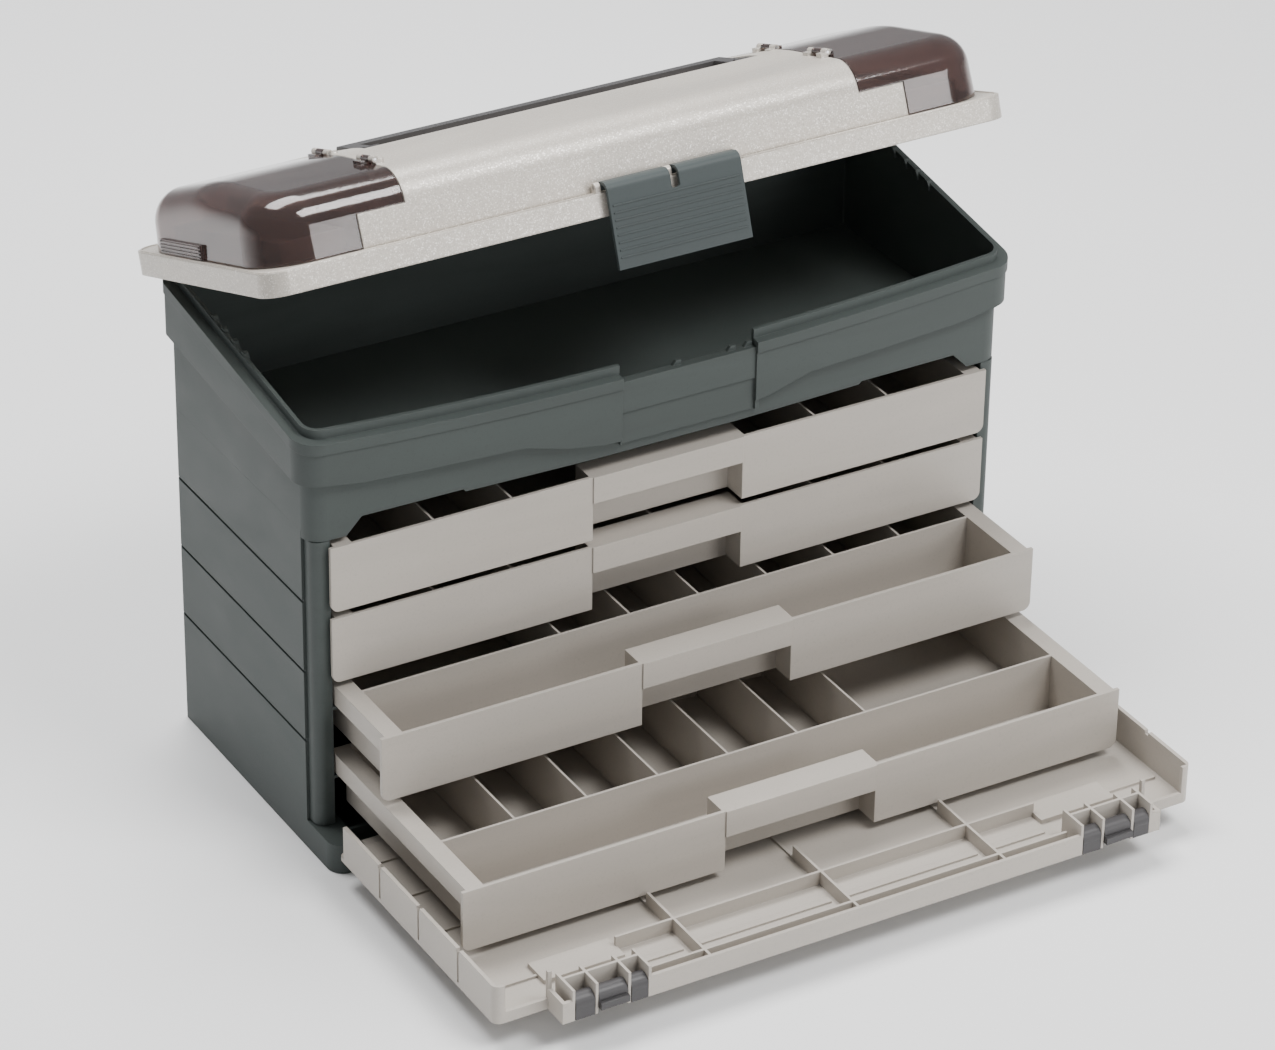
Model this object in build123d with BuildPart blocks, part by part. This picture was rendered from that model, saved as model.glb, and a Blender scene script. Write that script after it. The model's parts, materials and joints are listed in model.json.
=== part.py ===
from build123d import *
import os
from math import cos, radians, sin, tan

os.makedirs("parts", exist_ok=True)

# Four-drawer tackle box. Millimetres, +Z up. The origin is the middle of the base's underside,
# the front faces -Y and +X is to the right of someone who faces the front.

# ---- driving dimensions ---------------------------------------------------------------------
WALL = 2.8                      # general wall of the mouldings
GAP = 0.4                       # clearance between pieces that move past each other

CAB_HALF = 268.5                # cabinet, half of its width over the side panels
CAB_BACK = 116.0                # rear face of the cabinet
CAB_TOP = 248.5                 # top of the side panels, where the tub sits
BASE_FRONT = -116.0             # front of the base lip
BASE_H = 22.0                   # height of the base lip
LIP_HALF = 248.0                # half width of the lip's low middle, where the front cover turns
PANEL_FRONT = -75.0             # front ends of the side panels
COLUMN_HALF = 266.4             # half width over the two front columns
COLUMN_FRONT = -88.0

DRAWERS = 4
FACE_Y = -92.0                  # front face of a shut drawer
FACE_HALF = 255.5
FACE_H = (48.9, 48.9, 48.9, 46.2)
FACE_T = 2.6
DRAWER_TOP = 239.1              # top edge of the highest drawer
PITCH = 54.3                    # from one drawer to the next
OUT = (0.0, 0.0, 69.0, 180.0)   # how far each drawer is pulled out at rest
TRAY_HALF = 240.7               # tray, half width over its side walls
TRAY_BACK = 101.0               # rear face of a shut tray
TRAY_WALL = 1.9
FLANGE_HALF = 252.0
FLANGE_LIP = 15.0
FRONT_BAY = 58.0                # depth of the long compartment behind the face
END_PITCH = 59.0                # dividers in the two upper drawers
CELL_PITCH = 54.4               # and in the two lower ones
DIVIDER_X = (
    (-178.0, -178.0 + END_PITCH, -1.0, 176.0 - END_PITCH, 176.0),
    (-178.0, -178.0 + END_PITCH, -1.0, 176.0 - END_PITCH, 176.0),
    [184.0 - CELL_PITCH * cell for cell in range(6)],
    [-184.0 + CELL_PITCH * cell for cell in range(6)],
)
HAS_BAY = (False, False, True, True)                # drawers with a long front compartment
PULL_HALF = 58.5
PULL_DEPTH = 19.0
PULL_BAND = 20.0                # height of the band that the fingers go behind

GROOVE_TOP = 248.5
GROOVE_PITCH = 54.25

RIM_TILT = 8.0                  # the rim falls towards the front, degrees
RIM_HALF = 276.0                # outside of the rim's bead
RIM_FRONT = -94.0
RIM_BACK = 116.5
RIM_FRONT_Z = 315.0             # middle of the bead at the front
BEAD = 4.0                      # half height of the bead
LIP_UP = 10.4                   # the lip stands this far above the middle of the bead
TUB_HALF = 268.5
TUB_FRONT = -88.0
BAND_LOW = 284.0
BAND_MID = 258.0                # lowest point of the band, at the middle of the front
TUB_FLOOR = 256.0
RIM_SAG = 10.0                  # the rim's front dips this far in the middle
SAG_HALF = 255.0
SKIRT_LOW = 243.5               # bottom of the tub's front skirt at the corners
SEAT = (-37.0, 67.0)            # latch seat in the rim, left and right
SEAT_TOP = 305.5

LID_HALF = 282.5
LID_DEPTH = 220.0
LID_SKIRT = 16.0
LID_HINGE = (124.0, 303.0)      # y and z of the lid's hinge pins
LID_SHUT = (-97.5, 314.5)       # y and z of the shut lid's front lower edge
LID_OPEN = 28.0                 # how far the lid stands open at rest, degrees
LID_HINGE_X = 170.0
DOME_HALF = 278.0               # domed top, half width
DOME_IN = 8.0                   # ledge between the skirt and the dome
DOME_TOP = 65.5
DOME_ROUND = 23.0               # rounding between the dome's sides and its crown
COVER_X = 173.0                 # inboard edge of each clear cover, and its hinge axis
COVER_STEP = 208.0              # inboard edge of each clear cover below the step
STEP_H = 39.0
CLEAR_T = 2.3                   # wall of the clear covers
TRAY_STEP_H = 14.0

HANDLE_HALF = 149.0
HANDLE_AXIS = (112.0, 59.5)     # depth and height on the lid
HANDLE_REACH = 44.0
POCKET = (104.0, 168.0)         # the handle's pocket, front and back

LATCH_MID = 15.5                # the latch sits off the middle, over its seat
LATCH_HALF = 51.0
LATCH_AXIS = (4.0, 20.0)
LATCH_DROP = -36.0
PIN_R = 1.5
BORE_R = 1.56
KNUCKLE_PIN = 1.0
KNUCKLE_BORE = 1.06
HINGE_R = 2.0
HINGE_BORE = 2.06

COVER_HALF = 269.5              # front cover, half width
COVER_HINGE = (-111.5, 14.4)    # y and z of the front cover's hinge
COVER_FACE = 20.4               # underside of the open cover above the floor
COVER_WALL_TOP = 49.0           # top of the open cover's walls
COVER_CORNER = -341.0           # front of the open cover at its corners
COVER_MID = -360.5              # and along its middle
COVER_MID_HALF = 231.0
COVER_BACK = -122.6
COVER_WALL_BACK = -130.6
COVER_FRONT_TOP = 36.0          # top of its low front wall
RIB_TOP = 33.5
LOW_RIB_TOP = 24.6
CLASP_X = 195.0                 # the two cover latches
CLASP_AXIS = (-354.5, 30.5)
CLASP_R = 6.5


# ---- frames ---------------------------------------------------------------------------------
def swing(point, centre, angle):
    """A point (y, z) turned about a centre so that what lies in front of it rises."""
    c, s = cos(radians(angle)), sin(radians(angle))
    y, z = point[0] - centre[0], point[1] - centre[1]
    return centre[0] + y * c + z * s, centre[1] - y * s + z * c


LID_ANGLE = LID_OPEN - RIM_TILT                 # the open lid's slope
lid_y, lid_z = swing(LID_SHUT, LID_HINGE, LID_OPEN)
LID_O = (0, lid_y, lid_z)
BACKWARD = (0, cos(radians(LID_ANGLE)), -sin(radians(LID_ANGLE)))
UPWARD = (0, sin(radians(LID_ANGLE)), cos(radians(LID_ANGLE)))
# the lid's own frame: x across, y from its front edge backwards, z up from its lower edge
lid_plane = Plane(origin=LID_O, x_dir=(1, 0, 0), z_dir=UPWARD)
lid_side = Plane(origin=LID_O, x_dir=BACKWARD, z_dir=(1, 0, 0))
lid_front = Plane(origin=LID_O, x_dir=(1, 0, 0), z_dir=tuple(-v for v in BACKWARD))
rim_plane = Plane(
    origin=(0, RIM_FRONT, RIM_FRONT_Z),
    x_dir=(1, 0, 0),
    z_dir=(0, -sin(radians(RIM_TILT)), cos(radians(RIM_TILT))),
)


def lid_local(y, z):
    """Depth and height, in the lid's frame, of a point (y, z) of the box."""
    dy, dz = y - lid_y, z - lid_z
    return dy * BACKWARD[1] + dz * BACKWARD[2], dy * UPWARD[1] + dz * UPWARD[2]


# ---- small shapes ---------------------------------------------------------------------------
def block(xs, ys, zs, mode=Mode.ADD):
    """A box between two x, two y and two z values."""
    with Locations(((xs[0] + xs[1]) / 2, (ys[0] + ys[1]) / 2, (zs[0] + zs[1]) / 2)):
        Box(abs(xs[1] - xs[0]), abs(ys[1] - ys[0]), abs(zs[1] - zs[0]), mode=mode)


def rod_x(xs, y, z, radius, mode=Mode.ADD):
    """A cylinder along X."""
    with Locations(((xs[0] + xs[1]) / 2, y, z)):
        Cylinder(radius, abs(xs[1] - xs[0]), rotation=(0, 90, 0), mode=mode)


def rod_y(x, ys, z, radius, mode=Mode.ADD):
    """A cylinder along Y."""
    with Locations((x, (ys[0] + ys[1]) / 2, z)):
        Cylinder(radius, abs(ys[1] - ys[0]), rotation=(90, 0, 0), mode=mode)


def plate(plane, half, ys, radius, amount, mode=Mode.ADD):
    """A rounded rectangle between two y values of a plane, extruded."""
    with BuildSketch(plane) as outline:
        with Locations((0, (ys[0] + ys[1]) / 2)):
            RectangleRounded(2 * half, ys[1] - ys[0], radius)
    extrude(outline.sketch, amount=amount, mode=mode)


def plan(height, half, ys, front_radius, back_radius, amount, mode=Mode.ADD):
    """A level outline with its own front and back corner radii, extruded upwards."""
    with BuildSketch(Plane.XY.offset(height)) as outline:
        with Locations((0, (ys[0] + ys[1]) / 2)):
            Rectangle(2 * half, ys[1] - ys[0])
        fillet(vertices().group_by(Axis.Y)[0], front_radius)
        fillet(vertices().group_by(Axis.Y)[-1], back_radius)
    extrude(outline.sketch, amount=amount, mode=mode)


def save(builder, name):
    builder.part.label = name
    export_step(builder.part, f"parts/{name}.step")


# ---- cabinet --------------------------------------------------------------------------------
def corner_x(side, near, far):
    return sorted((side * near, side * far))


with BuildPart() as cabinet_shell:
    # base, side panels and back in one piece, open in front
    plan(0, CAB_HALF, (BASE_FRONT, CAB_BACK), 12, 4, CAB_TOP)
    plan(WALL, CAB_HALF - WALL, (BASE_FRONT - 30, CAB_BACK - WALL), 2, 1.5, CAB_TOP, Mode.SUBTRACT)
    block((-300, 300), (BASE_FRONT - 1, PANEL_FRONT), (WALL, CAB_TOP + 1), Mode.SUBTRACT)
    # a block with a pin hole at each end of the front lip, and a low lip and sill between them
    with BuildSketch(Plane.XY.offset(1)):
        with Locations((0, (BASE_FRONT + CAB_BACK) / 2)):
            RectangleRounded(2 * CAB_HALF, CAB_BACK - BASE_FRONT, 12)
        with Locations((0, PANEL_FRONT + 200)):
            Rectangle(600, 400, mode=Mode.SUBTRACT)
        Rectangle(2 * LIP_HALF, 600, mode=Mode.SUBTRACT)
    extrude(amount=BASE_H - 1)
    block((-LIP_HALF - 1, LIP_HALF + 1), (BASE_FRONT, -96), (1, 6))
    block((-LIP_HALF - 1, LIP_HALF + 1), (-99, -96), (1, BASE_H))
    for side in (-1, 1):
        for row in range(1, DRAWERS):
            z = GROOVE_TOP - row * GROOVE_PITCH
            block(corner_x(side, CAB_HALF - 1.3, CAB_HALF + 1), (PANEL_FRONT - 1, CAB_BACK + 1), (z - 1.1, z + 1.1),
                  Mode.SUBTRACT)
        rod_x(corner_x(side, LIP_HALF - 1, 259), *COVER_HINGE, HINGE_BORE, Mode.SUBTRACT)
save(cabinet_shell, "cabinet_shell")


def drawer_frame(side):
    """The moulded frame at one side: a rounded front column, a wall and a ledge under each drawer."""
    with BuildPart() as frame:
        with BuildSketch(Plane.XY.offset(BASE_H + GAP)):
            with Locations((side * (COLUMN_HALF + 253.6) / 2, (COLUMN_FRONT + PANEL_FRONT) / 2)):
                Rectangle(COLUMN_HALF - 253.6, PANEL_FRONT - COLUMN_FRONT - 2 * GAP)
            corner = vertices().group_by(Axis.Y)[0].sort_by(Axis.X)[0 if side < 0 else -1]
            fillet(corner, 7)
        extrude(amount=SKIRT_LOW - BASE_H - 2 * GAP)
        block(corner_x(side, 253.6, 256), (COLUMN_FRONT + 4, CAB_BACK - WALL - GAP), (BASE_H + GAP, CAB_TOP - GAP))
        for row in range(DRAWERS):
            ledge = DRAWER_TOP - row * PITCH - FLANGE_LIP - GAP
            block(corner_x(side, TRAY_HALF + 1, 254), (COLUMN_FRONT, TRAY_BACK + 5), (ledge - 2.4, ledge))
    return frame


left_rail_frame = drawer_frame(-1)
save(left_rail_frame, "left_rail_frame")
right_rail_frame = drawer_frame(1)
save(right_rail_frame, "right_rail_frame")


# ---- bulk tub -------------------------------------------------------------------------------
RIM_LENGTH = (RIM_BACK - RIM_FRONT) / cos(radians(RIM_TILT))

rim_front = Plane(
    origin=(0, RIM_FRONT, RIM_FRONT_Z),
    x_dir=(1, 0, 0),
    z_dir=(0, -cos(radians(RIM_TILT)), -sin(radians(RIM_TILT))),
)
HALF_WAY = 100.0                                 # behind this depth the rim is flat


def trim_rim(height, far):
    """Cut away what lies beyond the rim's line raised by a height, up to far from that line."""
    with BuildSketch(rim_front.offset(40)) as beyond:
        with BuildLine():
            Polyline((SAG_HALF, height), (320, height), (320, far), (-320, far), (-320, height), (-SAG_HALF, height))
            ThreePointArc((-SAG_HALF, height), (0, height - RIM_SAG), (SAG_HALF, height))
        make_face()
    extrude(beyond.sketch, amount=-40 - HALF_WAY, mode=Mode.SUBTRACT)
    plate(rim_plane.offset(height), RIM_HALF + 20, (HALF_WAY, RIM_LENGTH + 40), 2, far - height, Mode.SUBTRACT)


with BuildPart() as bead:
    plan(BAND_LOW, RIM_HALF, (RIM_FRONT, RIM_BACK), 18, 8, 100)
    plan(BAND_LOW, TUB_HALF - WALL, (TUB_FRONT + WALL, CAB_BACK - WALL), 10.2, 2.2, 100, Mode.SUBTRACT)
    trim_rim(BEAD, 150)
    trim_rim(-BEAD, -100)

with BuildPart() as tub:
    # upper band, an outer wall that hangs from the bead
    plan(BAND_MID, RIM_HALF - 1, (RIM_FRONT + 1, CAB_BACK), 17, 7, 110)
    plan(BAND_MID, RIM_HALF - 1 - WALL, (RIM_FRONT + 1 + WALL, CAB_BACK - WALL), 14.2, 4.2, 110, Mode.SUBTRACT)
    trim_rim(0, 150)
    # its lower edge rises along the sides, and falls from the corners to the middle of the front
    with BuildSketch(Plane.YZ):
        Polygon((PANEL_FRONT, BAND_MID - 5), (140, BAND_MID - 5), (140, 311), (PANEL_FRONT, 289), align=None)
    extrude(amount=300, both=True, mode=Mode.SUBTRACT)
    front_edge = [(300, 289), (262, 288), (230, 283), (178, 279.5), (111, 276), (78, 266.5), (50, 262), (0, 260.2)]
    with BuildSketch(Plane.XZ.offset(-PANEL_FRONT)):
        Polygon((300, BAND_MID - 5), *front_edge, *((-x, z) for x, z in reversed(front_edge[:-1])),
                (-300, BAND_MID - 5), align=None)
    extrude(amount=60, mode=Mode.SUBTRACT)
    # backing of the latch seat
    block((SEAT[0] - 1, SEAT[1] + 3), (RIM_FRONT + 2, TUB_FRONT + 1), (BAND_MID, SEAT_TOP - 4))
    # inner wall, from the top of the cabinet to the lip, with a skirt in front of the cabinet
    plan(SKIRT_LOW, TUB_HALF, (TUB_FRONT, CAB_BACK), 13, 4, 140)
    plan(SKIRT_LOW - 1, TUB_HALF - WALL, (TUB_FRONT + WALL, CAB_BACK - WALL), 10.2, 1.5, 142, Mode.SUBTRACT)
    trim_rim(LIP_UP, 150)
    block((-300, 300), (PANEL_FRONT - GAP, CAB_BACK + 10), (SKIRT_LOW - 2, CAB_TOP), Mode.SUBTRACT)
    skirt_edge = [(241.5, SKIRT_LOW - 2), (241.5, SKIRT_LOW), (230, 255.3), (155, 254.5), (153, 252.5), (55, 250.3)]
    with BuildSketch(Plane.XZ.offset(-TUB_FRONT + 5)):
        Polygon(*skirt_edge, *((-x, z) for x, z in reversed(skirt_edge)), align=None)
    extrude(amount=-PANEL_FRONT + TUB_FRONT - 5, mode=Mode.SUBTRACT)
    plan(TUB_FLOOR, TUB_HALF - 1, (TUB_FRONT + 1, CAB_BACK - 1), 10, 3, WALL)
    add(bead.part)
    # latch seat: bead and lip are cut away, with a recess that steps in lower down, and small teeth on its edge
    block(SEAT, (RIM_FRONT - 3, TUB_FRONT + 6), (SEAT_TOP, RIM_FRONT_Z + 30), Mode.SUBTRACT)
    block((SEAT[1] - 1, SEAT[1] + 9), (TUB_FRONT - 0.5, TUB_FRONT + 6), (RIM_FRONT_Z + 3, RIM_FRONT_Z + 30),
          Mode.SUBTRACT)
    block(SEAT, (RIM_FRONT - 3, RIM_FRONT + 2.4), (282, SEAT_TOP + 1), Mode.SUBTRACT)
    block((SEAT[0], SEAT[1]), (RIM_FRONT - 3, RIM_FRONT + 3.8), (BAND_MID - 5, 282), Mode.SUBTRACT)
    for x in (7.6, 50, 63):
        with BuildSketch(Plane.XZ.offset(-TUB_FRONT)):
            Polygon((x - 4.5, SEAT_TOP - 1), (x + 3, SEAT_TOP - 1), (x + 3, SEAT_TOP + 3.4), (x - 1, SEAT_TOP + 3.4),
                    align=None)
        extrude(amount=-WALL)
    # hinge ears on the back
    for x in (-LID_HINGE_X, LID_HINGE_X):
        for near, far in ((-21, -14.5), (14.5, 21)):
            block((x + near, x + far), (CAB_BACK - 1, LID_HINGE[0]), (296, 310))
            rod_x((x + near, x + far), *LID_HINGE, 6)
        rod_x((x - 22, x + 22), *LID_HINGE, HINGE_BORE, Mode.SUBTRACT)
save(tub, "tub")

with BuildPart() as lid_hinge_pins:
    for x in (-LID_HINGE_X, LID_HINGE_X):
        rod_x((x - 21, x + 21), *LID_HINGE, HINGE_R)
save(lid_hinge_pins, "lid_hinge_pins")


# ---- lid ------------------------------------------------------------------------------------
def dome(inset):
    """The domed block that the lid's middle and both clear covers share, inset from its skin.

    It is drawn in the lid's own frame."""
    foot = 10
    with BuildPart() as shape:
        with BuildSketch(Plane.XY.offset(foot)):
            with Locations((0, LID_DEPTH / 2)):
                RectangleRounded(2 * (DOME_HALF - inset), LID_DEPTH - 2 * (DOME_IN + inset), 36 - inset)
        extrude(amount=70, taper=3.5)
        with BuildSketch(Plane.YZ):
            with BuildLine():
                crown = FilletPolyline(
                    (-20, 58.5 - inset), (DOME_IN + 6, 60.5 - inset), (110, DOME_TOP - inset), (186, 56 - inset),
                    (LID_DEPTH + 20, 44 - inset), radius=(200, 200, 90),
                )
                Polyline(crown @ 1, (LID_DEPTH + 20, 0), (-20, 0), crown @ 0)
            make_face()
        extrude(amount=DOME_HALF + 5, both=True, mode=Mode.INTERSECT)
        around = [e for e in shape.edges() if e.center().Z > 40
                  and not (abs(e.center().X) < 5 and 30 < e.center().Y < LID_DEPTH - 30)]
        fillet(around, DOME_ROUND - inset)
    return shape.part


POCKET_FLOOR = 53.0
outer_dome = dome(0)
clear_hollow = dome(CLEAR_T)
pocket_middle = Pos(0, sum(POCKET) / 2, POCKET_FLOOR - WALL + 20)
lid_hollow = dome(WALL) & Pos(0, 110, 0) * Box(2 * (COVER_X - GAP - WALL), 240, 200)
lid_hollow = lid_hollow - pocket_middle * Box(2 * HANDLE_HALF + 12, POCKET[1] - POCKET[0] + 2 * WALL, 40)

hinge_depth, hinge_height = lid_local(*LID_HINGE)
COVER_KNUCKLES = (56.0, 126.0)                   # where the clear covers' hinge knuckles are
KNUCKLE_R = 2.4
KNUCKLE_Z = DOME_TOP                             # height of the clear covers' hinge axis

with BuildPart(lid_plane) as lid_dome:
    # domed middle with its lower steps, hollow underneath except round the handle's pocket
    add(outer_dome)
    for side in (-1, 1):
        block(corner_x(side, COVER_X - GAP, 300), (-1, 240), (STEP_H, 90), Mode.SUBTRACT)
        block(corner_x(side, COVER_STEP - GAP, 300), (-1, 240), (0, STEP_H + 1), Mode.SUBTRACT)
    block((-300, 300), (-1, 240), (0, LID_SKIRT), Mode.SUBTRACT)
    add(lid_hollow, mode=Mode.SUBTRACT)
    block((-COVER_STEP + GAP + WALL, COVER_STEP - GAP - WALL), (24, 190), (0, STEP_H - WALL), Mode.SUBTRACT)
    # pocket for the folded handle
    block((-HANDLE_HALF - 3, HANDLE_HALF + 3), POCKET, (POCKET_FLOOR, 90), Mode.SUBTRACT)
    rod_x((-HANDLE_HALF - 7, HANDLE_HALF + 7), *HANDLE_AXIS, HINGE_BORE, Mode.SUBTRACT)
    # half of each clear cover's hinge knuckles
    for side in (-1, 1):
        for middle in COVER_KNUCKLES:
            block(corner_x(side, COVER_X - 4, COVER_X), (middle - 6, middle + 6), (50, 80), Mode.SUBTRACT)
            for ys in ((middle - 12, middle - 6), (middle + 6, middle + 12)):
                block(corner_x(side, COVER_X - 6, COVER_X), ys, (KNUCKLE_Z - 5, KNUCKLE_Z))
                rod_y(side * COVER_X, ys, KNUCKLE_Z, KNUCKLE_R)
        rod_y(side * COVER_X, (40, 140), KNUCKLE_Z, KNUCKLE_BORE, Mode.SUBTRACT)
save(lid_dome, "lid_dome")

with BuildPart(lid_plane) as lid_frame:
    # skirt and deck
    plate(lid_plane, LID_HALF, (0, LID_DEPTH), 16, LID_SKIRT)
    plate(lid_plane.offset(-1), LID_HALF - WALL, (WALL, LID_DEPTH - WALL), 13.2, LID_SKIRT - WALL + 1, Mode.SUBTRACT)
    block((-COVER_STEP + 8, COVER_STEP - 8), (24, 190), (0, LID_SKIRT + 1), Mode.SUBTRACT)
    # latch lugs on the front ledge
    left, right = LATCH_MID - LATCH_HALF, LATCH_MID + LATCH_HALF
    for xs in ((left - 4.5, left - GAP), (LATCH_MID - 2.4, LATCH_MID + 2.4), (right + GAP, right + 4.5)):
        block(xs, (1, 7), (LID_SKIRT - 1, LATCH_AXIS[1]))
        rod_x(xs, *LATCH_AXIS, 3)
    rod_x((left - 5, right + 5), *LATCH_AXIS, BORE_R, Mode.SUBTRACT)
    # hinge arms at the back
    for x in (-LID_HINGE_X, LID_HINGE_X):
        block((x - 14, x + 14), (LID_DEPTH - WALL + 0.1, LID_DEPTH + 2), (hinge_height, LID_SKIRT - 4))
        rod_x((x - 14, x + 14), hinge_depth, hinge_height, 5.4)
        rod_x((x - 15, x + 15), hinge_depth, hinge_height, HINGE_BORE, Mode.SUBTRACT)
    # a low wall round each end compartment
    for side in (-1, 1):
        block(corner_x(side, 212, 258), (26, 192), (LID_SKIRT - 1, LID_SKIRT + TRAY_STEP_H))
        block(corner_x(side, 214, 256), (28, 190), (LID_SKIRT, LID_SKIRT + 40), Mode.SUBTRACT)
save(lid_frame, "lid_frame")


def clear_cover(side):
    """A hinged cover over one end of the lid, with knuckles, and a ribbed pull at its outer end."""
    with BuildPart(lid_plane) as cover:
        add(outer_dome)
        add(clear_hollow, mode=Mode.SUBTRACT)
        block(corner_x(-side, -COVER_X - GAP, 300), (-1, 240), (0, 90), Mode.SUBTRACT)
        block(corner_x(side, COVER_X - 1, COVER_STEP + GAP), (-1, 240), (0, STEP_H + GAP), Mode.SUBTRACT)
        block(corner_x(side, COVER_X - 1, 300), (-1, 240), (0, LID_SKIRT + GAP), Mode.SUBTRACT)
        for middle in COVER_KNUCKLES:
            for ys in ((middle - 12.4, middle - 5.6), (middle + 5.6, middle + 12.4)):
                block(corner_x(side, COVER_X - 1, COVER_X + 4), ys, (50, 80), Mode.SUBTRACT)
            knuckle = (middle - 5.6, middle + 5.6)
            block(corner_x(side, COVER_X, COVER_X + 8), knuckle, (KNUCKLE_Z - 5, KNUCKLE_Z))
            rod_y(side * COVER_X, knuckle, KNUCKLE_Z, KNUCKLE_R)
        rod_y(side * COVER_X, (40, 140), KNUCKLE_Z, KNUCKLE_BORE, Mode.SUBTRACT)
        block(corner_x(side, DOME_HALF - CLEAR_T, DOME_HALF + 1.6), (106, 172), (17, 27))
        for ridge in range(4):
            rod_y(side * (DOME_HALF + 1.6), (107, 171), 18.6 + 2.3 * ridge, 0.8)
    return cover


left_top_cover = clear_cover(-1)
save(left_top_cover, "left_top_cover")
right_top_cover = clear_cover(1)
save(right_top_cover, "right_top_cover")

with BuildPart(lid_plane) as top_cover_pins:
    for side in (-1, 1):
        for middle in COVER_KNUCKLES:
            rod_y(side * COVER_X, (middle - 12, middle + 12), KNUCKLE_Z, KNUCKLE_PIN)
save(top_cover_pins, "top_cover_pins")

with BuildPart(lid_plane) as handle:
    depth, height = HANDLE_AXIS
    block((-HANDLE_HALF, HANDLE_HALF), (depth + HANDLE_REACH - 14, depth + HANDLE_REACH), (height - 4, height + 3))
    for side in (-1, 1):
        block(corner_x(side, HANDLE_HALF - 11, HANDLE_HALF), (depth, depth + HANDLE_REACH), (height - 4, height + 3))
        rod_x(corner_x(side, HANDLE_HALF - 11, HANDLE_HALF), depth, height, 5)
    fillet(edges().filter_by(Axis.X).group_by(SortBy.LENGTH)[-1], 2)
    rod_x((-HANDLE_HALF - 1, HANDLE_HALF + 1), depth, height, HINGE_BORE, Mode.SUBTRACT)
save(handle, "handle")

with BuildPart(lid_plane) as handle_pins:
    for side in (-1, 1):
        rod_x(corner_x(side, HANDLE_HALF - 10, HANDLE_HALF + 5.6), *HANDLE_AXIS, HINGE_R)
save(handle_pins, "handle_pins")

with BuildPart() as lid_latch:
    depth, height = LATCH_AXIS
    with BuildSketch(lid_side.offset(LATCH_MID)):
        with BuildLine():
            outer = FilletPolyline((-6.5, LATCH_DROP), (-6.5, height + 3.2), (depth, height + 3.2), radius=6)
            inner = FilletPolyline((depth, height + 0.8), (-3.9, height + 0.8), (-3.9, LATCH_DROP), radius=3.6)
            Line(outer @ 1, inner @ 0)
            Line(inner @ 1, outer @ 0)
        make_face()
        with Locations((depth, height)):
            Circle(3.2)
            Circle(BORE_R, mode=Mode.SUBTRACT)
    extrude(amount=LATCH_HALF, both=True)
    with BuildSketch(lid_front.offset(20)):
        with Locations((LATCH_MID, height)):
            RectangleRounded(6.4, 22, 2)
    extrude(amount=-40, mode=Mode.SUBTRACT)
    # fine ribs across the face, and the hook that snaps under the catch
    for rib in range(8):
        with BuildSketch(lid_front.offset(6.4)):
            with Locations((LATCH_MID, 7 - 5 * rib)):
                Rectangle(2 * LATCH_HALF - 5, 1)
        extrude(amount=0.7)
    with BuildSketch(lid_front.offset(2.2)):
        with Locations((LATCH_MID, LATCH_DROP + 1.5)):
            Rectangle(76, 3)
    extrude(amount=2)
save(lid_latch, "lid_latch")

with BuildPart(lid_plane) as lid_latch_pin:
    rod_x((LATCH_MID - LATCH_HALF - 4.5, LATCH_MID + LATCH_HALF + 4.5), *LATCH_AXIS, PIN_R)
save(lid_latch_pin, "lid_latch_pin")


# ---- drawers --------------------------------------------------------------------------------
def divider_front(row, x):
    """Where the divider at x starts: behind the front compartment, the pull or the face."""
    front = FACE_Y - OUT[row]
    if HAS_BAY[row]:
        return front + FACE_T + FRONT_BAY
    if abs(x) < PULL_HALF + TRAY_WALL:
        return front + PULL_DEPTH + TRAY_WALL
    return front + FACE_T


def drawer_tray(row):
    """One drawer: face, tray, side flanges, front compartment, finger pull and guide ribs for the dividers."""
    top = DRAWER_TOP - row * PITCH
    low = top - FACE_H[row]
    floor = low + 1.5
    front = FACE_Y - OUT[row]
    back = TRAY_BACK - OUT[row]
    partition = front + FACE_T + FRONT_BAY
    inside = (-TRAY_HALF + TRAY_WALL, TRAY_HALF - TRAY_WALL)
    with BuildPart() as tray:
        block((-TRAY_HALF, TRAY_HALF), (front + 1, back), (floor, top))
        block(inside, (front + FACE_T, back - TRAY_WALL), (floor + TRAY_WALL, top + 1), Mode.SUBTRACT)
        if HAS_BAY[row]:
            block((-TRAY_HALF + 1, TRAY_HALF - 1), (partition - TRAY_WALL, partition), (floor + 1, top))
        # flanges that hang over the frame's ledges
        for side in (-1, 1):
            block(corner_x(side, TRAY_HALF - 0.1, FLANGE_HALF), (front + 1, back), (top - TRAY_WALL, top))
            block(corner_x(side, FLANGE_HALF - TRAY_WALL, FLANGE_HALF), (front + 1, back), (top - FLANGE_LIP, top))
        with BuildSketch(Plane.XZ.offset(-front)):
            with Locations((0, (top + low) / 2)):
                Rectangle(2 * FACE_HALF, top - low)
            fillet(vertices().group_by(Axis.Y)[0], 6)
        extrude(amount=-FACE_T)
        # pull: a hood with a back wall, open below, under a band that stands a little proud of the face
        block((-PULL_HALF - TRAY_WALL, PULL_HALF + TRAY_WALL), (front + 1, front + PULL_DEPTH + TRAY_WALL), (low, top))
        block((-PULL_HALF, PULL_HALF), (front + FACE_T, front + PULL_DEPTH), (low - 1, top - 2.2), Mode.SUBTRACT)
        block((-PULL_HALF, PULL_HALF), (front - 1, front + FACE_T + 1), (low - 1, top - PULL_BAND), Mode.SUBTRACT)
        block((-PULL_HALF, PULL_HALF), (front - 1, front + 1), (top - PULL_BAND, top))
        for x in DIVIDER_X[row]:
            near = divider_front(row, x)
            for ys in ((near - 0.1, near + 1.2), (back - TRAY_WALL - 1.2, back - TRAY_WALL + 0.1)):
                for offset_x in (-1.9, 1.9):
                    block((x + offset_x - 0.6, x + offset_x + 0.6), ys, (floor + 1, top - 3))
    return tray


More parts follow.
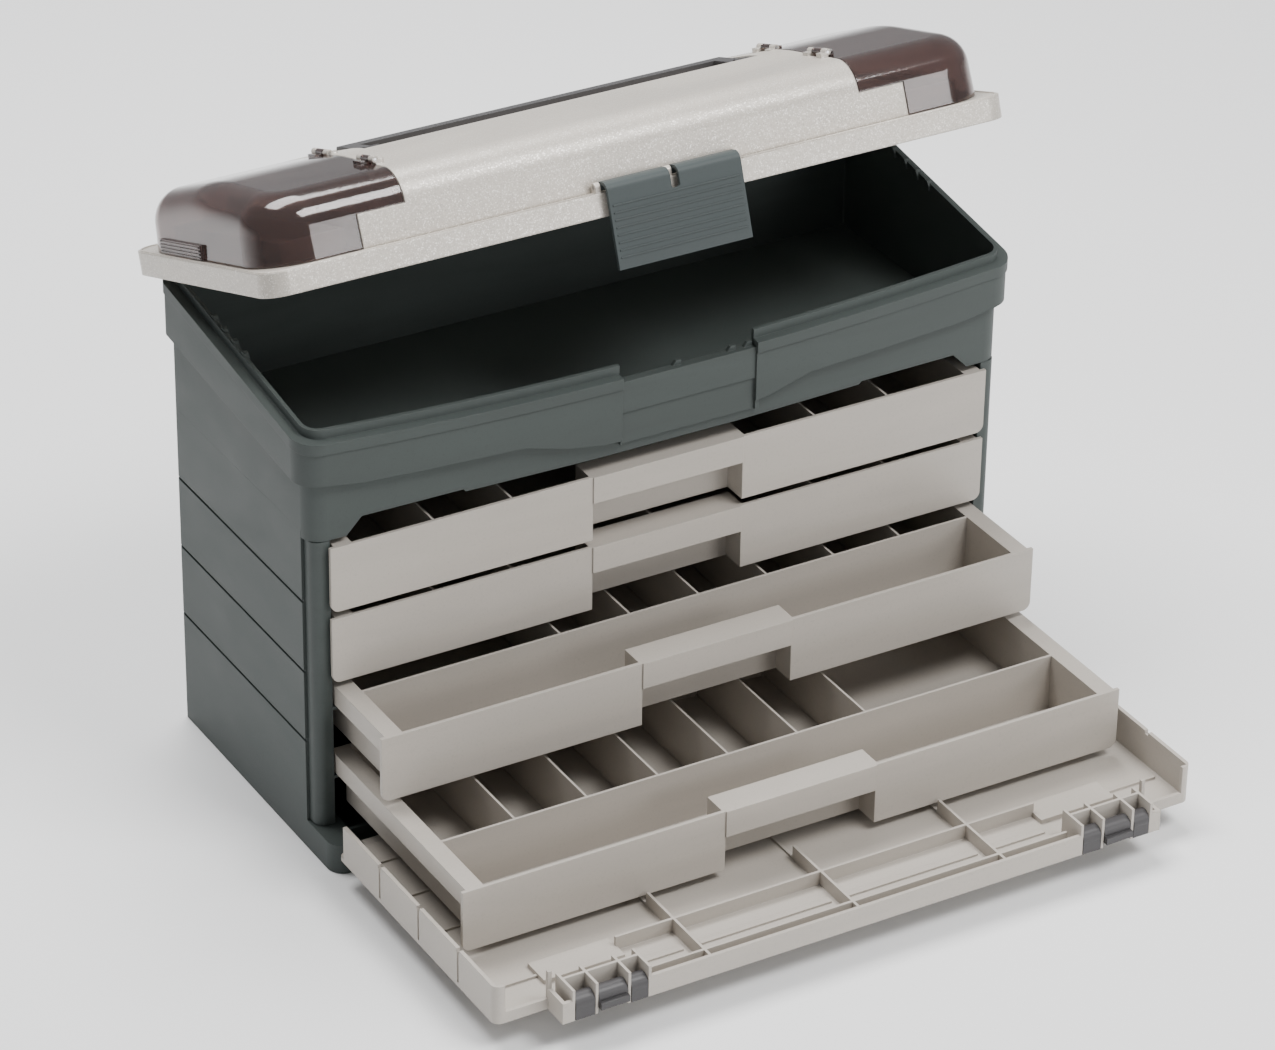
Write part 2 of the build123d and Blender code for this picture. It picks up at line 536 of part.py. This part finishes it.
def drawer_dividers(row):
    """The loose dividers that stand in the guide ribs of one drawer."""
    top = DRAWER_TOP - row * PITCH
    stand = top - FACE_H[row] + 1.5 + TRAY_WALL + 0.2
    back = TRAY_BACK - OUT[row] - TRAY_WALL
    with BuildPart() as dividers:
        for x in DIVIDER_X[row]:
            block((x - 0.8, x + 0.8), (divider_front(row, x) + 0.3, back - 0.3), (stand, top - 0.6))
    return dividers


for row in range(DRAWERS):
    tray = drawer_tray(row)
    save(tray, f"drawer_{row + 1}_tray")
    dividers = drawer_dividers(row)
    save(dividers, f"drawer_{row + 1}_dividers")


# ---- front cover, lying open ----------------------------------------------------------------
CLASP_BAY = 27.0                                 # half width of each latch pocket
Y_RIBS = (-119.0, -6.0, 109.0)
FIN_TOP = 44.0
POCKET_BACK = COVER_MID + 14.5                   # back of the latch pockets

with BuildPart() as front_cover:
    plate(Plane.XY.offset(COVER_FACE), COVER_HALF, (COVER_CORNER, COVER_BACK), 6, COVER_WALL_TOP - COVER_FACE)
    block((-COVER_MID_HALF, COVER_MID_HALF), (COVER_MID, COVER_CORNER + 20), (COVER_FACE, COVER_FRONT_TOP))
    # hollow inside, open towards the hinge
    block((-COVER_HALF + WALL, COVER_HALF - WALL), (COVER_CORNER + WALL, COVER_BACK + 1),
          (COVER_FACE + WALL, COVER_WALL_TOP + 1), Mode.SUBTRACT)
    block((-COVER_MID_HALF + WALL, COVER_MID_HALF - WALL), (COVER_MID + WALL, COVER_CORNER + 20),
          (COVER_FACE + WALL, COVER_WALL_TOP + 1), Mode.SUBTRACT)
    block((-300, 300), (COVER_WALL_BACK, COVER_BACK + 1), (COVER_FACE + WALL, COVER_WALL_TOP + 1), Mode.SUBTRACT)
    # notches in the side walls, in line with the cabinet's grooves when the cover is shut
    for row in range(1, DRAWERS):
        y = COVER_HINGE[0] + COVER_HINGE[1] - (GROOVE_TOP - row * GROOVE_PITCH)
        for side in (-1, 1):
            block(corner_x(side, COVER_HALF - 1.3, COVER_HALF + 1), (y - 1.1, y + 1.1),
                  (COVER_FACE + 3, COVER_WALL_TOP + 1), Mode.SUBTRACT)
            block(corner_x(side, COVER_HALF - WALL - 1, COVER_HALF + 1), (y - 2, y + 2),
                  (COVER_WALL_TOP - 2.5, COVER_WALL_TOP + 1), Mode.SUBTRACT)
    # the front wall is low between the corners and the latches
    for side in (-1, 1):
        block(corner_x(side, COVER_MID_HALF, 262), (COVER_CORNER - 1, COVER_CORNER + WALL + 1),
              (COVER_FACE + 8, COVER_WALL_TOP + 1), Mode.SUBTRACT)
    # latch pockets, open in front and below, with a fin each side of every lobe
    for x in (-CLASP_X, CLASP_X):
        block((x - CLASP_BAY, x + CLASP_BAY), (COVER_MID - 1, POCKET_BACK), (COVER_FACE - 1, FIN_TOP), Mode.SUBTRACT)
        for fin in (-CLASP_BAY - 2, -12, 12, CLASP_BAY):
            block((x + fin, x + fin + 2), (COVER_MID, POCKET_BACK + 8), (COVER_FACE, FIN_TOP))
        block((x - CLASP_BAY - 2, x + CLASP_BAY + 2), (POCKET_BACK, POCKET_BACK + 2), (COVER_FACE, FIN_TOP))
    # stiffening ribs: tall in front of the drawers, low under them
    for x in Y_RIBS:
        block((x - 1, x + 1), (COVER_MID + 1, -274), (COVER_FACE, RIB_TOP))
        block((x - 1, x + 1), (-275, COVER_BACK - 6), (COVER_FACE, LOW_RIB_TOP))
    for y in (-348.0, -308.0):
        block((-163, 163), (y - 1, y + 1), (COVER_FACE, RIB_TOP))
    for y in (-236.0, -190.0, -146.0):
        block((-262, 262), (y - 1, y + 1), (COVER_FACE, LOW_RIB_TOP))
    for side in (-1, 1):
        block(corner_x(side, 162, 222), (-320, -298), (COVER_FACE, 26.5))
        block(corner_x(side, 222, 262), (-311, -309), (COVER_FACE, 25))
    # long raised strips with a ridge along their middle
    ends = (-163, *Y_RIBS, 163)
    for near, far in zip(ends, ends[1:]):
        block((near + 5, far - 4), (-337, -325), (COVER_FACE, 24.2))
        block((near + 7, far - 6), (-332, -329), (COVER_FACE, 25.6))
    # hinge: webs down to a barrel between the two ends of the base lip
    for x in (-205, -70, 70, 205):
        with BuildSketch(Plane.YZ.offset(x - 20)):
            Polygon((COVER_BACK - 3, COVER_FACE), (COVER_BACK - 3, COVER_FACE + WALL), (-112, 18.6), (-112, 11),
                    (-116, 12), align=None)
        extrude(amount=40)
        rod_x((x - 20, x + 20), *COVER_HINGE, 4.6)
    for side in (-1, 1):
        block(corner_x(side, 222, 247), (-118, -108.6), (11, 18))
        block(corner_x(side, 222, 247), (COVER_BACK - 3, -113), (COVER_FACE - 5, COVER_FACE + 0.5))
    rod_x((-248, 248), *COVER_HINGE, HINGE_BORE, Mode.SUBTRACT)
    for x in (-CLASP_X, CLASP_X):
        rod_x((x - CLASP_BAY - 3, x + CLASP_BAY + 3), *CLASP_AXIS, BORE_R, Mode.SUBTRACT)
        rod_x((x - CLASP_BAY + 1, x + CLASP_BAY - 1), *CLASP_AXIS, 3.2, Mode.SUBTRACT)
save(front_cover, "front_cover")

with BuildPart() as cover_hinge_pins:
    for side in (-1, 1):
        rod_x(corner_x(side, 224, 258), *COVER_HINGE, HINGE_R)
save(cover_hinge_pins, "cover_hinge_pins")


def clasp(x):
    """A three-lobed latch: two hooked outer lobes and a thumb tab in the middle."""
    y, z = CLASP_AXIS
    with BuildPart() as latch:
        for xs in ((x - CLASP_BAY + 0.4, x - 12.4), (x - 9.6, x + 11.6), (x + 14.4, x + CLASP_BAY - 0.4)):
            rod_x(xs, y, z, CLASP_R)
        rod_x((x - CLASP_BAY + 0.4, x + CLASP_BAY - 0.4), y, z, 2.6)
        block((x - 9.6, x + 11.6), (y - CLASP_R - 3, y), (z - 6, z - 1.4))
        for xs in ((x - CLASP_BAY + 0.4, x - 12.4), (x + 14.4, x + CLASP_BAY - 0.4)):
            block(xs, (y - 6.2, y - 2), (z - 10, z))
        rod_x((x - CLASP_BAY - 1, x + CLASP_BAY + 1), y, z, BORE_R, Mode.SUBTRACT)
    return latch


left_cover_latch = clasp(-CLASP_X)
save(left_cover_latch, "left_cover_latch")
right_cover_latch = clasp(CLASP_X)
save(right_cover_latch, "right_cover_latch")

with BuildPart() as cover_latch_pins:
    for x in (-CLASP_X, CLASP_X):
        rod_x((x - CLASP_BAY - 2, x + CLASP_BAY + 2), *CLASP_AXIS, PIN_R)
save(cover_latch_pins, "cover_latch_pins")
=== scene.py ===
import json
import math

import bpy
from mathutils import Matrix, Vector


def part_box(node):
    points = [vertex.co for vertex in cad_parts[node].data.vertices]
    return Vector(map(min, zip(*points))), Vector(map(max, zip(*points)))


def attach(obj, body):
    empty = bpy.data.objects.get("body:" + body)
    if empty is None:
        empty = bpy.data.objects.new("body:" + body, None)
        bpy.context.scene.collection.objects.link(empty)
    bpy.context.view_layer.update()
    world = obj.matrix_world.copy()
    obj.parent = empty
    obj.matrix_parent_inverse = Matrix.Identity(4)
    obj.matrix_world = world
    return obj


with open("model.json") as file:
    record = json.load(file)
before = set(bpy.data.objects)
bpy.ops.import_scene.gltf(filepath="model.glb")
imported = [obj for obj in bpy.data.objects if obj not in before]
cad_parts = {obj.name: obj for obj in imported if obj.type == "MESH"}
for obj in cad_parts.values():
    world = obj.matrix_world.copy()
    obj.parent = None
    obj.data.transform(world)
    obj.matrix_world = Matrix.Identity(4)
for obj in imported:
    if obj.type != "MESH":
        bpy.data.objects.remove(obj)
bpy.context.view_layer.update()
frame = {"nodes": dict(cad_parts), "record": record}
NODES = frame["nodes"]


# ---- camera -----------------------------------------------------------------------------------
CAMERA_TURN = (-30.42, 30.26, 0.867)              # azimuth, elevation and roll, in degrees
CAMERA_PLACE = (-1.5223, -2.6429, 1.9226)
CAMERA_LENS = 143.14
SENSOR_WIDTH = 36


def place_camera():
    azimuth, elevation, roll = (math.radians(v) for v in CAMERA_TURN)
    back = Vector((math.sin(azimuth) * math.cos(elevation), -math.cos(azimuth) * math.cos(elevation),
                   math.sin(elevation)))
    right = Vector((math.cos(azimuth), math.sin(azimuth), 0))
    up = back.cross(right)
    rolled_right = right * math.cos(roll) + up * math.sin(roll)
    rolled_up = up * math.cos(roll) - right * math.sin(roll)
    data = bpy.data.cameras.new("camera")
    data.lens = CAMERA_LENS
    data.sensor_width = SENSOR_WIDTH
    data.shift_x = 0.0007
    data.shift_y = -0.004
    data.clip_end = 60
    camera = bpy.data.objects.new("camera", data)
    bpy.context.collection.objects.link(camera)
    turn = Matrix((rolled_right, rolled_up, back)).transposed()
    camera.matrix_world = Matrix.Translation(CAMERA_PLACE) @ turn.to_4x4()
    bpy.context.scene.camera = camera


place_camera()


# ---- materials --------------------------------------------------------------------------------
class Nodes:
    """A short way to write a node tree."""

    def __init__(self, name):
        self.material = bpy.data.materials.new(name)
        self.material.use_nodes = True
        self.tree = self.material.node_tree
        self.shader = self.tree.nodes["Principled BSDF"]

    def new(self, kind, values=None, **settings):
        node = self.tree.nodes.new("ShaderNode" + kind)
        for key, value in settings.items():
            setattr(node, key, value)
        for key, value in (values or {}).items():
            if isinstance(value, bpy.types.NodeSocket):
                self.tree.links.new(value, node.inputs[key])
            else:
                node.inputs[key].default_value = value
        return node

    def place(self):
        return self.new("TexCoord").outputs["Object"]

    def stretched(self, place, scale):
        return self.new("Mapping", {"Vector": place, "Scale": scale}).outputs[0]

    def noise(self, place, **values):
        return self.new("TexNoise", {"Vector": place, **values}).outputs[0]

    def mix(self, factor, a, b):
        node = self.new("Mix", data_type="RGBA")
        for socket, value in ((node.inputs[0], factor), (node.inputs[6], a), (node.inputs[7], b)):
            if isinstance(value, bpy.types.NodeSocket):
                self.tree.links.new(value, socket)
            else:
                socket.default_value = value
        return node.outputs[2]

    def remap(self, value, low, high, to_low, to_high):
        node = self.new("MapRange", {0: value, 1: low, 2: high, 3: to_low, 4: to_high})
        return node.outputs[0]

    def set(self, **values):
        for key, value in values.items():
            socket = self.shader.inputs[key.replace("_", " ")]
            if isinstance(value, bpy.types.NodeSocket):
                self.tree.links.new(value, socket)
            else:
                socket.default_value = value


def linear(r, g, b):
    """A linear colour from sRGB values out of 255."""
    def channel(v):
        v /= 255
        return ((v + 0.055) / 1.055) ** 2.4 if v > 0.04045 else v / 12.92
    return (channel(r), channel(g), channel(b), 1)


def shade(colour, factor):
    return tuple(min(1, channel * factor) for channel in colour[:3]) + (1,)


def plastic(name, colour, roughness, grain=0.12, edge=0.0006, flow=0.05, flake=0.0, specular=0.5):
    """Moulded plastic: a fine spark-eroded grain, faint flow marks, and softly rounded edges."""
    m = Nodes(name)
    place = m.place()
    base = linear(*colour)
    streaks = m.noise(m.stretched(place, (3, 9, 22)), Scale=1.6, Detail=5.0, Roughness=0.55, Distortion=0.6)
    cloud = m.noise(place, Scale=7.0, Detail=3.0)
    fine = m.noise(place, Scale=1500.0, Detail=2.0, Roughness=0.6)
    speck = m.noise(place, Scale=520.0, Detail=3.0, Roughness=0.7)
    lighter = shade(base, 1 + flow * 2)
    darker = shade(base, 1 - flow * 2)
    tone = m.mix(m.remap(streaks, 0.35, 0.65, 0.0, 1.0), darker, lighter)
    tone = m.mix(m.remap(cloud, 0.3, 0.7, 0.0, 0.35), tone, base)
    tone = m.mix(m.remap(speck, 0.55, 0.8, 0.0, 0.5), tone, shade(base, 0.72))
    rough = m.remap(streaks, 0.3, 0.7, roughness - 0.05, roughness + 0.06)
    if flake:
        cells = m.new("TexVoronoi", {"Vector": place, "Scale": 1400.0})
        pick = m.new("SeparateColor", {0: cells.outputs["Color"]}).outputs[0]
        bright = m.remap(pick, 0.78, 1.0, 0.0, flake)
        tone = m.mix(bright, tone, (1, 0.98, 0.94, 1))
        dim = m.remap(pick, 0.0, 0.2, flake * 0.7, 0.0)
        tone = m.mix(dim, tone, shade(base, 0.45))
        m.set(Metallic=m.remap(pick, 0.72, 1.0, 0.1, 0.55))
    m.set(Base_Color=tone, Roughness=rough)
    m.set(Specular_IOR_Level=specular)
    rounded = m.new("Bevel", {"Radius": edge}, samples=6)
    bump = m.new("Bump", {"Strength": grain, "Distance": 0.00025, "Height": fine,
                          "Normal": rounded.outputs[0]})
    sink = m.new("Bump", {"Strength": 0.05, "Distance": 0.004, "Height": cloud,
                          "Normal": bump.outputs[0]})
    m.set(Normal=sink.outputs[0])
    return m.material


def smoked(name):
    """Clear moulded plastic with a brown smoke tint."""
    m = Nodes(name)
    place = m.place()
    wave = m.noise(m.stretched(place, (4, 12, 12)), Scale=3.0, Detail=4.0)
    fine = m.noise(place, Scale=900.0, Detail=2.0)
    tone = m.mix(m.remap(wave, 0.3, 0.7, 0.0, 1.0), linear(128, 107, 103), linear(142, 120, 115))
    m.set(Base_Color=tone, Roughness=m.remap(fine, 0.4, 0.7, 0.07, 0.16))
    m.set(Transmission_Weight=0.92, IOR=1.5, Coat_Weight=0.25, Coat_Roughness=0.06)
    rounded = m.new("Bevel", {"Radius": 0.0008}, samples=6)
    bump = m.new("Bump", {"Strength": 0.06, "Distance": 0.003, "Height": wave,
                          "Normal": rounded.outputs[0]})
    m.set(Normal=bump.outputs[0])
    return m.material


def steel(name):
    """Drawn steel wire: fine lines along it and a faint stain."""
    m = Nodes(name)
    place = m.place()
    lines = m.noise(m.stretched(place, (30, 900, 900)), Scale=2.0, Detail=4.0)
    stain = m.noise(place, Scale=60.0, Detail=4.0)
    tone = m.mix(m.remap(stain, 0.4, 0.7, 0.0, 1.0), linear(176, 176, 178), linear(140, 136, 130))
    m.set(Base_Color=tone, Metallic=1.0, Roughness=m.remap(lines, 0.3, 0.7, 0.24, 0.42))
    bump = m.new("Bump", {"Strength": 0.15, "Distance": 0.0002, "Height": lines})
    m.set(Normal=bump.outputs[0])
    return m.material


GREEN = plastic("green_grey_plastic", (64, 70, 68), 0.52, grain=0.35, specular=0.3)
SAND = plastic("sand_plastic", (174, 167, 158), 0.40, grain=0.14, flow=0.022)
FLAKE = plastic("sand_flake_plastic", (190, 183, 173), 0.34, grain=0.12, flow=0.03, flake=0.45,
                edge=0.0016)
SLATE = plastic("slate_plastic", (58, 65, 65), 0.48, grain=0.2, specular=0.3)
DARK = plastic("dark_plastic", (58, 56, 57), 0.42, grain=0.2)
SMOKE = smoked("smoked_clear_plastic")
STEEL = steel("pin_steel")
BY_SLOT = {"green_grey": GREEN, "sand": SAND, "sand_flake": FLAKE, "slate": SLATE, "dark": DARK,
           "smoke": SMOKE, "pin": STEEL}


def dress(obj, material):
    """Give a CAD node one material."""
    obj.data.materials.clear()
    obj.data.materials.append(material)
    for polygon in obj.data.polygons:
        polygon.material_index = 0


for part in frame["record"]["subparts"]:
    dress(NODES[part["node"]], BY_SLOT[part["material_slot"]])


# ---- small pieces that the CAD part leaves out --------------------------------------------------
RIM_TILT = 8                                      # fall of the tub's rim towards the front, degrees
TOOTH = [(-3.8, -5), (3.8, -4), (3.8, 0.6), (2.2, 1.9), (-0.8, 1.4), (-3.2, -1.6)]
TOOTH_X = (264, 267.6)                            # inner and outer side of a tooth, from the middle
TOOTH_Y = (6, 21, 36, 51)
LEDGE_HEIGHT = 16                                 # top of the lid's ledge in the lid's own frame


def new_piece(name, verts, faces, material):
    """A mesh object in the scene, not yet tied to a body."""
    mesh = bpy.data.meshes.new(name)
    mesh.from_pydata(verts, [], faces)
    mesh.materials.append(material)
    piece = bpy.data.objects.new(name, mesh)
    bpy.context.collection.objects.link(piece)
    return piece


def lip_top(y):
    """Height of the top of the tub's lip at a depth along its sides, in millimetres."""
    rim_slope = math.tan(math.radians(RIM_TILT))
    return 1000 * (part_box("tub")[1][2] - (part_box("cabinet_shell")[1][1] - y / 1000) * rim_slope)


def rim_teeth(name, side):
    """Ratchet teeth moulded on the inside of the tub's lip, each a prism across the lip."""
    verts, faces, count = [], [], len(TOOTH)
    for y in TOOTH_Y:
        start, z = len(verts), lip_top(y)
        for x in sorted(side * edge for edge in TOOTH_X):
            verts += [(x / 1000, (y + dy) / 1000, (z + dz) / 1000) for dy, dz in TOOTH]
        faces += [[start + k for k in reversed(range(count))], [start + count + k for k in range(count)]]
        for k in range(count):
            following = (k + 1) % count
            faces.append((start + k, start + following, start + count + following, start + count + k))
    piece = new_piece(name, verts, faces, GREEN)
    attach(piece, "cabinet")


rim_teeth("left_rim_teeth", -1)
rim_teeth("right_rim_teeth", 1)


JOINTS = {joint["name"]: joint for joint in frame["record"]["behaviour"]["joints"]}


def lid_point(x, u, w):
    """A point given in the resting lid's own frame: sideways, backwards and upwards, in millimetres."""
    cover_hinge = JOINTS["left_top_cover_hinge"]
    backwards = Vector(cover_hinge["axis"])
    upwards = Vector((1, 0, 0)).cross(backwards)
    hinge_depth, hinge_height = 0.091, 0.0655     # of that hinge in the lid's own frame
    origin = Vector((0, *cover_hinge["pos_m"][1:])) - hinge_depth * backwards - hinge_height * upwards
    return origin + Vector((x / 1000, 0, 0)) + backwards * u / 1000 + upwards * w / 1000


def ledge_path():
    """The ridge's middle line on the lid's ledge, from one side of the latch round to the other."""
    half, front, back, corner = 280.4, 2.2, 217.8, 13.5
    latch_left, latch_right = -41, 72
    steps = 8
    path = [(latch_right, front)]
    for cx, cy, start in ((half - corner, front + corner, -90), (half - corner, back - corner, 0),
                          (-half + corner, back - corner, 90), (-half + corner, front + corner, 180)):
        for step in range(steps + 1):
            angle = math.radians(start + 90 / steps * step)
            path.append((cx + corner * math.cos(angle), cy + corner * math.sin(angle)))
    path.append((latch_left, front))
    return path


def ledge_ridge(name):
    """A fine rounded ridge on the lid's ledge, all the way round but for the latch."""
    path = ledge_path()
    profile = [(-1.1, -0.4), (-0.8, 0.5), (0, 0.8), (0.8, 0.5), (1.1, -0.4)]
    verts, faces, count = [], [], len(profile)
    for k, (x, u) in enumerate(path):
        before, after = Vector(path[max(k - 1, 0)]), Vector(path[min(k + 1, len(path) - 1)])
        along = (after - before).normalized()
        for out, rise in profile:
            verts.append(lid_point(x + along.y * out, u - along.x * out, LEDGE_HEIGHT + rise))
    for k in range(len(path) - 1):
        for j in range(count):
            a, b = k * count + j, k * count + (j + 1) % count
            faces.append((a, a + count, b + count, b))
    faces += [list(range(count)), list(reversed(range(len(verts) - count, len(verts))))]
    piece = new_piece(name, verts, faces, FLAKE)
    for polygon in piece.data.polygons:
        polygon.use_smooth = len(polygon.vertices) == 4
    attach(piece, "lid")


ledge_ridge("lid_ledge_ridge")


# ---- floor and light --------------------------------------------------------------------------
FLOOR_HALF = 12
FLOOR_HEIGHT = -0.0003
LIGHT_TARGET = (0, -0.05, 0.2)


def floor_material():
    m = Nodes("pale_floor")
    place = m.place()
    fog = m.noise(place, Scale=0.8, Detail=3.0)
    tone = m.mix(m.remap(fog, 0.3, 0.7, 0.0, 1.0), (0.85, 0.85, 0.85, 1), (0.88, 0.88, 0.88, 1))
    m.set(Base_Color=tone, Roughness=0.9)
    return m.material


corners = ((-1, -1), (1, -1), (1, 1), (-1, 1))
floor = new_piece("floor", [(x * FLOOR_HALF, y * FLOOR_HALF, FLOOR_HEIGHT) for x, y in corners],
                  [(0, 1, 2, 3)], floor_material())


def area_light(name, at, size, power):
    data = bpy.data.lights.new(name, "AREA")
    data.shape = "RECTANGLE"
    data.size, data.size_y = size
    data.energy = power
    light = bpy.data.objects.new(name, data)
    light.location = at
    light.rotation_euler = (Vector(LIGHT_TARGET) - Vector(at)).to_track_quat("-Z", "Y").to_euler()
    bpy.context.collection.objects.link(light)


world = bpy.data.worlds.new("studio")
bpy.context.scene.world = world
world.use_nodes = True
background = world.node_tree.nodes["Background"]
background.inputs["Color"].default_value = (0.95, 0.97, 1.0, 1)
background.inputs["Strength"].default_value = 0.36
area_light("key", (0.9, -1.6, 3.0), (1.5, 1.1), 98)
area_light("top", (-0.2, 0.9, 2.7), (2.2, 1.2), 120)
area_light("front", (1.45, -2.6, 0.95), (1.3, 0.8), 25)

bpy.context.view_layer.update()
